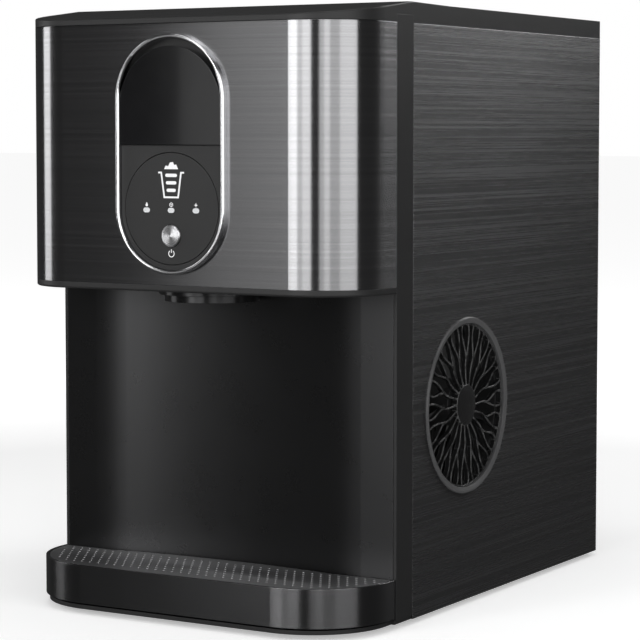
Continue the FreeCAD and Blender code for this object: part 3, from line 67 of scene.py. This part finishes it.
class Graph:
    """A material's node tree with short names for the nodes that every finish uses."""

    def __init__(self, name):
        self.material = bpy.data.materials.new(name)
        self.material.use_nodes = True
        self.tree = self.material.node_tree
        self.shader = self.tree.nodes["Principled BSDF"]

    def node(self, kind, **settings):
        made = self.tree.nodes.new(kind)
        for key, value in settings.items():
            setattr(made, key, value)
        return made

    def link(self, source, target):
        self.tree.links.new(source, target)

    def set(self, **sockets):
        for name, value in sockets.items():
            self.shader.inputs[name.replace("_", " ")].default_value = value

    def place(self, stretch=(1, 1, 1)):
        """Object coordinates, stretched per axis."""
        coordinates = self.node("ShaderNodeTexCoord")
        mapping = self.node("ShaderNodeMapping")
        mapping.inputs["Scale"].default_value = stretch
        self.link(coordinates.outputs["Object"], mapping.inputs["Vector"])
        return mapping.outputs["Vector"]

    def noise(self, scale, detail=3, roughness=0.5, stretch=(1, 1, 1)):
        texture = self.node("ShaderNodeTexNoise")
        texture.inputs["Scale"].default_value = scale
        texture.inputs["Detail"].default_value = detail
        texture.inputs["Roughness"].default_value = roughness
        self.link(self.place(stretch), texture.inputs["Vector"])
        return texture.outputs["Fac"]

    def between(self, factor, low, high, from_low=0.3, from_high=0.7):
        """Turn a factor into a number between low and high."""
        span = self.node("ShaderNodeMapRange")
        span.inputs["From Min"].default_value = from_low
        span.inputs["From Max"].default_value = from_high
        span.inputs["To Min"].default_value = low
        span.inputs["To Max"].default_value = high
        self.link(factor, span.inputs["Value"])
        return span.outputs["Result"]

    def tint(self, factor, dark, light, dark_at=0.3, light_at=0.7):
        """Turn a factor into a colour between two."""
        ramp = self.node("ShaderNodeValToRGB")
        ramp.color_ramp.elements[0].position = dark_at
        ramp.color_ramp.elements[0].color = (*dark, 1)
        ramp.color_ramp.elements[1].position = light_at
        ramp.color_ramp.elements[1].color = (*light, 1)
        self.link(factor, ramp.inputs["Fac"])
        return ramp.outputs["Color"]

    def soft_edges(self, radius=0.0006):
        """The surface normal with every sharp edge eased to a small radius."""
        bevel = self.node("ShaderNodeBevel", samples=4)
        bevel.inputs["Radius"].default_value = radius
        return bevel.outputs["Normal"]

    def bump(self, height, strength, distance):
        bump = self.node("ShaderNodeBump")
        bump.inputs["Strength"].default_value = strength
        bump.inputs["Distance"].default_value = distance
        self.link(height, bump.inputs["Height"])
        self.link(self.soft_edges(), bump.inputs["Normal"])
        self.link(bump.outputs["Normal"], self.shader.inputs["Normal"])

    def edge_wear_and_highlight(self, colour, wear_and_highlight, strength=0.7):
        """Blend a colour towards a paler one in a broken line along sharp edges: edge wear, and a painted
        edge highlight where it is strong.
        """
        geometry = self.node("ShaderNodeNewGeometry")
        facing = self.node("ShaderNodeVectorMath", operation="DOT_PRODUCT")
        self.link(self.soft_edges(0.0009), facing.inputs[0])
        self.link(geometry.outputs["Normal"], facing.inputs[1])
        edge = self.between(facing.outputs["Value"], strength, 0, 0.86, 0.995)
        broken = self.node("ShaderNodeMath", operation="MULTIPLY")
        self.link(edge, broken.inputs[0])
        self.link(self.between(self.noise(160, 4, 0.6), 0, 1, 0.35, 0.6), broken.inputs[1])
        mix = self.node("ShaderNodeMix", data_type="RGBA")
        self.link(broken.outputs[0], mix.inputs["Factor"])
        self.link(colour, mix.inputs[COLOUR_A])
        mix.inputs[COLOUR_B].default_value = (*wear_and_highlight, 1)
        return mix.outputs[COLOUR_RESULT]

    def across_grain(self, direction="Z"):
        """Stretch the highlights across brush lines that run level round an axis."""
        tangent = self.node("ShaderNodeTangent", direction_type="RADIAL", axis=direction)
        self.link(tangent.outputs[0], self.shader.inputs["Tangent"])
        self.set(Anisotropic_Rotation=QUARTER_TURN)


def grey(value):
    return (value, value, value * 1.02)


# ---------------------------------------------------------------- finishes


def brushed(name, tone, rough, grain=(2.5, 2.5, 1100), spread=0.08, anisotropy=0.9, wear_and_highlight=0.35):
    """Sheet steel with long level brush lines and slightly paler cut edges."""
    g = Graph(name)
    fine = g.noise(1.0, 5, 0.65, grain)
    coarse = g.noise(1.0, 3, 0.55, tuple(step * 0.3 for step in grain))
    both = g.node("ShaderNodeMath", operation="ADD")
    g.link(fine, both.inputs[0])
    g.link(coarse, both.inputs[1])
    lines = g.between(both.outputs[0], 0, 1, 0.7, 1.3)
    colour = g.tint(lines, grey(tone * (1 - spread)), grey(tone * (1 + spread)), 0.0, 1.0)
    g.link(g.edge_wear_and_highlight(colour, grey(min(tone * 1.9, 0.8)), wear_and_highlight), g.shader.inputs["Base Color"])
    g.link(g.between(lines, rough * 0.88, rough * 1.12, 0, 1), g.shader.inputs["Roughness"])
    g.set(Metallic=1.0, Anisotropic=anisotropy)
    g.across_grain()
    g.bump(lines, 0.05, FINE_RELIEF)
    return g.material


def moulded(name, colour, rough, grain=1400, strength=0.08, wear_and_highlight=0.6, rubbed_and_highlight_tone=0.01):
    """Injection-moulded plastic: a fine grain, faint flow clouding and paler edges, rubbed wear at the
    defaults and a painted edge highlight where the edge tone is raised.
    """
    g = Graph(name)
    dark = tuple(channel * 0.97 for channel in colour)
    light = tuple(min(channel * 1.03, 1) for channel in colour)
    base = g.tint(g.noise(14, 4, 0.6), dark, light)
    # paler edge tone: rubbed wear, raised into a painted highlight by a large edge tone
    rubbed_and_highlight = tuple(min(channel * 1.7 + rubbed_and_highlight_tone, 1) for channel in colour)
    g.link(g.edge_wear_and_highlight(base, rubbed_and_highlight, wear_and_highlight), g.shader.inputs["Base Color"])
    g.link(g.between(g.noise(40, 5, 0.65), rough - 0.025, rough + 0.03), g.shader.inputs["Roughness"])
    g.set(Specular_IOR_Level=0.38)
    g.bump(g.noise(grain, 3, 0.6), strength, 0.00008)
    return g.material


def lacquered(name, tone, rough, specular, anisotropy=0.75):
    """Dark lacquer whose gloss is drawn out upwards, with faint handling marks."""
    g = Graph(name)
    base = g.tint(g.noise(9, 3, 0.5), grey(tone * 0.96), grey(tone * 1.04))
    g.link(g.edge_wear_and_highlight(base, grey(tone * 2.2 + 0.01), 0.5), g.shader.inputs["Base Color"])
    g.link(g.between(g.noise(28, 6, 0.7), rough * 0.94, rough * 1.08), g.shader.inputs["Roughness"])
    g.set(Metallic=specular, Anisotropic=anisotropy)
    g.across_grain()
    g.bump(g.noise(300, 2, 0.5), 0.01, FINE_RELIEF)
    return g.material


def polished(name, colour, rough):
    """Plated or polished metal with the faintest waviness."""
    g = Graph(name)
    dark = tuple(channel * 0.96 for channel in colour)
    g.link(g.tint(g.noise(30, 4, 0.6), dark, colour), g.shader.inputs["Base Color"])
    g.link(g.between(g.noise(120, 5, 0.7), rough * 0.8, rough * 1.25), g.shader.inputs["Roughness"])
    g.set(Metallic=1.0)
    g.bump(g.noise(600, 3, 0.6), 0.02, FINE_RELIEF)
    return g.material


def spun(name, node, tone):
    """Aluminium turned on a lathe: fine circles about the node's own centre, seen along Y."""
    g = Graph(name)
    low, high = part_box(node)
    centre = (Vector(low) + Vector(high)) / 2
    coordinates = g.node("ShaderNodeTexCoord")
    shift = g.node("ShaderNodeVectorMath", operation="SUBTRACT")
    shift.inputs[1].default_value = (centre.x, 0, centre.z)
    g.link(coordinates.outputs["Object"], shift.inputs[0])
    flat = g.node("ShaderNodeVectorMath", operation="MULTIPLY")
    flat.inputs[1].default_value = (1, 0, 1)
    g.link(shift.outputs[0], flat.inputs[0])
    length = g.node("ShaderNodeVectorMath", operation="LENGTH")
    g.link(flat.outputs[0], length.inputs[0])
    rings = g.node("ShaderNodeTexNoise", noise_dimensions="1D")
    rings.inputs["Scale"].default_value = 6000
    rings.inputs["Detail"].default_value = 3
    g.link(length.outputs["Value"], rings.inputs["W"])
    g.link(g.tint(rings.outputs["Fac"], grey(tone * 0.86), grey(tone)), g.shader.inputs["Base Color"])
    g.link(g.between(rings.outputs["Fac"], 0.26, 0.4), g.shader.inputs["Roughness"])
    g.set(Metallic=1.0, Anisotropic=0.85)
    g.across_grain("Y")
    g.bump(rings.outputs["Fac"], 0.1, FINE_RELIEF)
    return g.material


def smoked(name):
    """Deep smoked clear plastic under a hard gloss."""
    g = Graph(name)
    colour = g.tint(g.noise(12, 3, 0.5), (0.003, 0.003, 0.0032), (0.004, 0.004, 0.0045))
    g.link(colour, g.shader.inputs["Base Color"])
    g.link(g.between(g.noise(35, 5, 0.7), 0.08, 0.12), g.shader.inputs["Roughness"])
    g.set(Coat_Weight=0.6, Coat_Roughness=0.04, IOR=1.52)
    g.bump(g.noise(240, 2, 0.5), 0.01, FINE_RELIEF)
    return g.material


def rubbery(name, tone):
    """Matt rubber or foam with an open grain."""
    g = Graph(name)
    g.link(g.tint(g.noise(25, 5, 0.7), grey(tone * 0.85), grey(tone * 1.2)), g.shader.inputs["Base Color"])
    g.link(g.between(g.noise(90, 4, 0.6), 0.62, 0.85), g.shader.inputs["Roughness"])
    g.bump(g.noise(1800, 4, 0.7), 0.25, 0.0002)
    return g.material


def hazy(name, tint, alpha):
    """Translucent food-safe plastic."""
    g = Graph(name)
    g.link(g.tint(g.noise(16, 4, 0.6), tuple(c * 0.95 for c in tint), tint), g.shader.inputs["Base Color"])
    g.link(g.between(g.noise(50, 4, 0.6), 0.3, 0.45), g.shader.inputs["Roughness"])
    g.set(Alpha=alpha)
    g.bump(g.noise(900, 3, 0.6), 0.06, 0.0002)
    return g.material


FINISHES = {
    "head_steel": brushed("head_steel", 0.3, 0.23, (2.5, 2.5, 1500), 0.15, anisotropy=0.95),
    "side_steel": brushed("side_steel", 0.2, 0.27, (5, 5, 1700), 0.16, 0.85),
    "zinc_sheet": brushed("zinc_sheet", 0.5, 0.38, (3, 3, 300), 0.06),
    "stainless": brushed("stainless", 0.62, 0.3, (12, 12, 600), 0.06),
    "grille_steel": brushed("grille_steel", 0.5, 0.42, (10, 500, 500), 0.08, 0.5),
    "satin_black": moulded("satin_black", grey(0.014), 0.42),
    "cover_black": moulded("cover_black", grey(0.012), 0.45, 1100, 0.1),
    "ring_black": moulded("ring_black", grey(0.06), 0.32),
    # painted highlight: the fan grille ribs' bright edges, the edge blend at full strength towards a much
    # paler tone
    "rib_black": moulded("rib_black", grey(0.009), 0.24, wear_and_highlight=1.0, rubbed_and_highlight_tone=0.16),
    "gloss_column": lacquered("gloss_column", 0.042, 0.28, 0.9),
    "gloss_tray": lacquered("gloss_tray", 0.18, 0.24, 1.0, 0.92),
    "chrome": polished("chrome", grey(0.72), 0.13),
    "smoked": smoked("smoked"),
    "panel_grey": moulded("panel_grey", grey(0.013), 0.5, 1500, 0.1),
    "disc_grey": moulded("disc_grey", grey(0.012), 0.47, 1500, 0.1),
    "spun_aluminium": spun("spun_aluminium", "power_button", 0.6),
    "white_lens": moulded("white_lens", (0.5, 0.51, 0.52), 0.3),
    "board_green": moulded("board_green", (0.02, 0.12, 0.05), 0.35),
    "white_plastic": moulded("white_plastic", (0.76, 0.77, 0.77), 0.4),
    "clear_plastic": hazy("clear_plastic", (0.7, 0.74, 0.77), 0.55),
    "copper": polished("copper", (0.78, 0.42, 0.28), 0.28),
    "fin_metal": polished("fin_metal", grey(0.02), 0.6),
    "black_paint": moulded("black_paint", grey(0.012), 0.28),
    "foam": rubbery("foam", 0.05),
    "rubber": rubbery("rubber", 0.025),
    "hose": hazy("hose", (0.75, 0.78, 0.8), 0.8),
    "cast_alloy": polished("cast_alloy", grey(0.5), 0.45),
    "screw_steel": polished("screw_steel", grey(0.55), 0.3),
}

NODE_FINISH = {
    "head_skin": "head_steel",
    "right_side_panel": "side_steel",
    "left_side_panel": "side_steel",
    "rear_panel": "side_steel",
    "top_cover": "cover_black",
    "tank_lid": "cover_black",
    "front_frame": "cover_black",
    "right_grille_ring": "ring_black",
    "left_grille_ring": "ring_black",
    "right_fan_grille": "rib_black",
    "left_fan_grille": "rib_black",
    "column_panel": "gloss_column",
    "chute_outlet": "gloss_column",
    "drip_tray": "gloss_tray",
    "drip_grille": "grille_steel",
    "control_panel": "panel_grey",
    "control_disc": "disc_grey",
    "condenser": "fin_metal",
}

SLOT_FINISH = {
    "dark_steel": "head_steel",
    "zinc_steel": "zinc_sheet",
    "gloss_black": "gloss_column",
}


def dress_nodes():
    """Give every CAD node its finish: its own where it has one, otherwise its slot's."""
    slots = {row["node"]: row["material_slot"] for row in frame["record"]["subparts"]}
    for node, item in frame["nodes"].items():
        slot = slots[node]
        finish = NODE_FINISH.get(node, SLOT_FINISH.get(slot, slot))
        item.data.materials.clear()
        item.data.materials.append(FINISHES[finish])


# ---------------------------------------------------------------- printed icons


def ink():
    """White print with a slightly uneven edge-to-edge cover, and a painted glow that makes it lighter than
    its lamps alone would.
    """
    g = Graph("white_ink")
    g.link(g.tint(g.noise(700, 3, 0.6), grey(0.42), grey(0.5)), g.shader.inputs["Base Color"])
    g.link(g.between(g.noise(300, 3, 0.6), 0.45, 0.6), g.shader.inputs["Roughness"])
    # painted glow: the print emits light though it is no lamp
    g.set(Emission_Color=(1, 1, 1, 1), Emission_Strength=PAINTED_INK_GLOW)
    return g.material


def printed(name, loops, material):
    """Closed loops of (x, z) millimetres, filled and printed on the control disc's face."""
    front = Vector(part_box("control_disc")[0]).y
    curve = bpy.data.curves.new(name, "CURVE")
    curve.dimensions = "2D"
    curve.fill_mode = "BOTH"
    curve.extrude = INK_THICKNESS
    for loop in loops:
        spline = curve.splines.new("POLY")
        spline.points.add(len(loop) - 1)
        for point, (x, z) in zip(spline.points, loop):
            point.co = (x * MM, z * MM, 0, 1)
        spline.use_cyclic_u = True
    curve.materials.append(material)
    piece = bpy.data.objects.new(name, curve)
    piece.rotation_euler = (math.radians(90), 0, 0)
    piece.location = (0, front - INK_THICKNESS * 0.6, 0)
    bpy.context.scene.collection.objects.link(piece)
    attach(piece, "cabinet")
    return piece


def around(x, z, radius, angle):
    """The point at an angle in degrees on a circle."""
    turn = math.radians(angle)
    return (x + radius * math.cos(turn), z + radius * math.sin(turn))


def arc(x, z, radius, start, end, steps=24):
    """Points along an arc, angles in degrees."""
    return [around(x, z, radius, start + (end - start) * step / steps) for step in range(steps + 1)]


def band(points, width, closed=False):
    """Loops round a line of points, drawn width wide with mitred corners."""
    count = len(points)
    sides = ([], [])
    for place in range(count):
        before = points[place - 1] if (closed or place) else None
        after = points[(place + 1) % count] if (closed or place < count - 1) else None
        here = Vector(points[place])
        ways = []
        if before is not None:
            ways.append((here - Vector(before)).normalized())
        if after is not None:
            ways.append((Vector(after) - here).normalized())
        normals = [Vector((-way.y, way.x)) for way in ways]
        mitre = sum(normals, Vector((0, 0))).normalized()
        reach = width / 2 / max(mitre.dot(normals[0]), 0.3)
        sides[0].append(tuple(here + mitre * reach))
        sides[1].append(tuple(here - mitre * reach))
    if closed:
        return [sides[0], sides[1]]
    return [sides[0] + sides[1][::-1]]


def cup_icon(material, bottom):
    """A tumbler with a ticked rim, three fill bars and a heap of ice."""
    rim = bottom + 17.2
    foot_half = 5.8
    rim_half = 8.3
    tick_end = 10.8
    right = [(foot_half, bottom), (rim_half, rim), (tick_end, rim)]
    glass = [(-x, z) for x, z in right[::-1]] + right
    printed("icon_cup", band(glass, 1.2), material)
    thick = 2.3
    for place, width in enumerate((9.8, 8.7, 7.6)):
        z = rim - 1.9 - 5.2 * place
        straight = (width - thick) / 2
        bar = arc(straight, z, thick / 2, -90, 90, 10) + arc(-straight, z, thick / 2, 90, 270, 10)
        printed(f"icon_bar_{place}", [bar], material)
    low = rim + 2.4
    heap = [(-5.9, low), (-4.4, low + 2.5), (-2.4, low + 2.0), (-0.9, low + 4.6), (1.6, low + 5.0),
            (2.6, low + 2.9), (4.3, low + 3.3), (5.9, low)]
    printed("icon_heap", [heap], material)


def drop_icon(material, x, z):
    """A drop of water."""
    printed("icon_drop", [[(x, z + 1.7)] + arc(x, z - 0.4, 1.0, 35, -215, 20)], material)


def cube_icon(material, x, z):
    """An ice cube seen from a corner."""
    printed("icon_cube", band(arc(x, z, 1.45, 90, 450, 6)[:-1], 0.36, True), material)
    for place, turn in enumerate((150, 30, -90)):
        spoke = [(x, z), around(x, z, 1.35, turn)]
        printed(f"icon_cube_edge_{place}", band(spoke, 0.32), material)


def spray_icon(material, x, z):
    """A four-pointed sparkle for the cleaning cycle."""
    tip = 1.7
    hollow = 0.55
    star = [around(x, z, hollow if place % 2 else tip, 45 * place) for place in range(8)]
    printed("icon_sparkle", [star], material)


def power_icon(material, z):
    """The usual power sign: an open ring and a bar."""
    printed("icon_power_ring", band(arc(0, z, 2.3, 125, 415, 32), 0.55), material)
    printed("icon_power_bar", band([(0, z + 0.5), (0, z + 3.0)], 0.55), material)


def print_icons():
    material = ink()
    lens_low, lens_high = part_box("indicator_lenses")
    lens_z = (lens_low[2] + lens_high[2]) / 2 / MM
    lens_half_width = 2.7
    pitch = (lens_high[0] - lens_low[0]) / 2 / MM - lens_half_width
    button_low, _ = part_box("power_button")
    above_lens = lens_z + 3.9
    cup_icon(material, lens_z + 9.1)
    drop_icon(material, -pitch, above_lens)
    cube_icon(material, 0, above_lens)
    spray_icon(material, pitch, above_lens)
    power_icon(material, button_low[2] / MM - 3.2)


# ---------------------------------------------------------------- studio


def floor():
    """A plain pale floor that glows more away from the machine and keeps its soft shadow near it."""
    g = Graph("floor")
    g.link(g.tint(g.noise(3, 3, 0.5), (0.88, 0.88, 0.88), (0.9, 0.9, 0.9)), g.shader.inputs["Base Color"])
    coordinates = g.node("ShaderNodeTexCoord")
    length = g.node("ShaderNodeVectorMath", operation="LENGTH")
    g.link(coordinates.outputs["Object"], length.inputs[0])
    near = 0.8
    far = 1.6
    glow = g.between(length.outputs["Value"], 0.4, 0.9, near, far)
    g.link(glow, g.shader.inputs["Emission Strength"])
    g.set(Roughness=0.8, Specular_IOR_Level=0.0, Emission_Color=(1, 1, 1, 1))
    half = 30.0
    mesh = bpy.data.meshes.new("floor")
    corners = [(-half, -half, 0), (half, -half, 0), (half, half, 0), (-half, half, 0)]
    mesh.from_pydata([(x, y, z - 0.0001) for x, y, z in corners], [], [(0, 1, 2, 3)])
    mesh.materials.append(g.material)
    item = bpy.data.objects.new("floor", mesh)
    item.visible_glossy = False
    bpy.context.scene.collection.objects.link(item)


def softbox(name, place, aim, width, height, radiance):
    """A rectangular soft light that looks at a point, as bright as a surface of the given radiance."""
    light = bpy.data.lights.new(name, "AREA")
    light.shape = "RECTANGLE"
    light.size = width
    light.size_y = height
    light.energy = radiance * math.pi * width * height
    item = bpy.data.objects.new(name, light)
    item.location = place
    item.rotation_euler = (Vector(aim) - Vector(place)).to_track_quat("-Z", "Y").to_euler()
    item.visible_camera = False
    bpy.context.scene.collection.objects.link(item)


HEAD_MIDDLE = (0.0, -0.16)
STRIP_DISTANCE = 2.2
STRIP_TOP = 1.9


def strip(name, start, end, radiance, low=0.0):
    """An upright softbox that fills an angle round the head, in degrees from the front to the right."""
    middle = math.radians((start + end) / 2)
    x = HEAD_MIDDLE[0] + STRIP_DISTANCE * math.sin(middle)
    y = HEAD_MIDDLE[1] - STRIP_DISTANCE * math.cos(middle)
    z = (low + STRIP_TOP) / 2
    width = 2 * STRIP_DISTANCE * math.tan(math.radians(end - start) / 2)
    softbox(name, (x, y, z), (HEAD_MIDDLE[0], HEAD_MIDDLE[1], z), width, STRIP_TOP - low, radiance)


def backdrop():
    """A white surround for the camera that lights the machine only dimly."""
    shade = 0.05
    world = bpy.data.worlds.new("studio")
    bpy.context.scene.world = world
    world.use_nodes = True
    tree = world.node_tree
    background = tree.nodes["Background"]
    path = tree.nodes.new("ShaderNodeLightPath")
    mix = tree.nodes.new("ShaderNodeMix")
    mix.data_type = "RGBA"
    mix.inputs[COLOUR_A].default_value = (shade, shade, shade, 1)
    mix.inputs[COLOUR_B].default_value = (1, 1, 1, 1)
    tree.links.new(path.outputs["Is Camera Ray"], mix.inputs["Factor"])
    tree.links.new(mix.outputs[COLOUR_RESULT], background.inputs["Color"])


def lights():
    """Upright strips whose reflections make the bands on the steel, and a soft light above."""
    strip("left_strip", -84, -66, 2.6)
    strip("front_left", -33, -25, 0.6)
    strip("front_key", -25, -12, 4.4)
    strip("front_soft", -12, -3, 2.1)
    strip("front_edge", -3, 11.5, 3.1)
    strip("right_near", 25, 33, 1.7)
    strip("right_key", 33, 42, 2.6)
    strip("right_soft", 42, 58, 1.5)
    strip("right_far", 58, 87, 2.4)
    strip("side_wash", 138, 152, 1.7, 0.85)
    strip("side_far_wash", 152, 170, 4.0, 0.85)
    strip("side_band", 156, 158.5, 9.0, 0.8)
    softbox("top", (0.1, -0.1, 2.2), (0, 0, 0.2), 1.8, 1.8, 1.5)


def camera():
    """The three-quarter view from the machine's right, nearly level."""
    azimuth = math.radians(30.534)
    dip = math.radians(3.85)
    lens_px = 2345.26
    frame_px = 640
    shift_px = -30
    data = bpy.data.cameras.new("camera")
    data.sensor_width = 36
    data.lens = lens_px / frame_px * data.sensor_width
    data.shift_y = shift_px / frame_px
    item = bpy.data.objects.new("camera", data)
    item.location = (0.92019, -1.56594, 0.34811)
    way = Vector((-math.sin(azimuth) * math.cos(dip), math.cos(azimuth) * math.cos(dip), -math.sin(dip)))
    item.rotation_euler = way.to_track_quat("-Z", "Y").to_euler()
    bpy.context.scene.collection.objects.link(item)
    bpy.context.scene.camera = item


dress_nodes()
print_icons()
floor()
backdrop()
lights()
camera()
bpy.context.scene.view_settings.view_transform = "Standard"
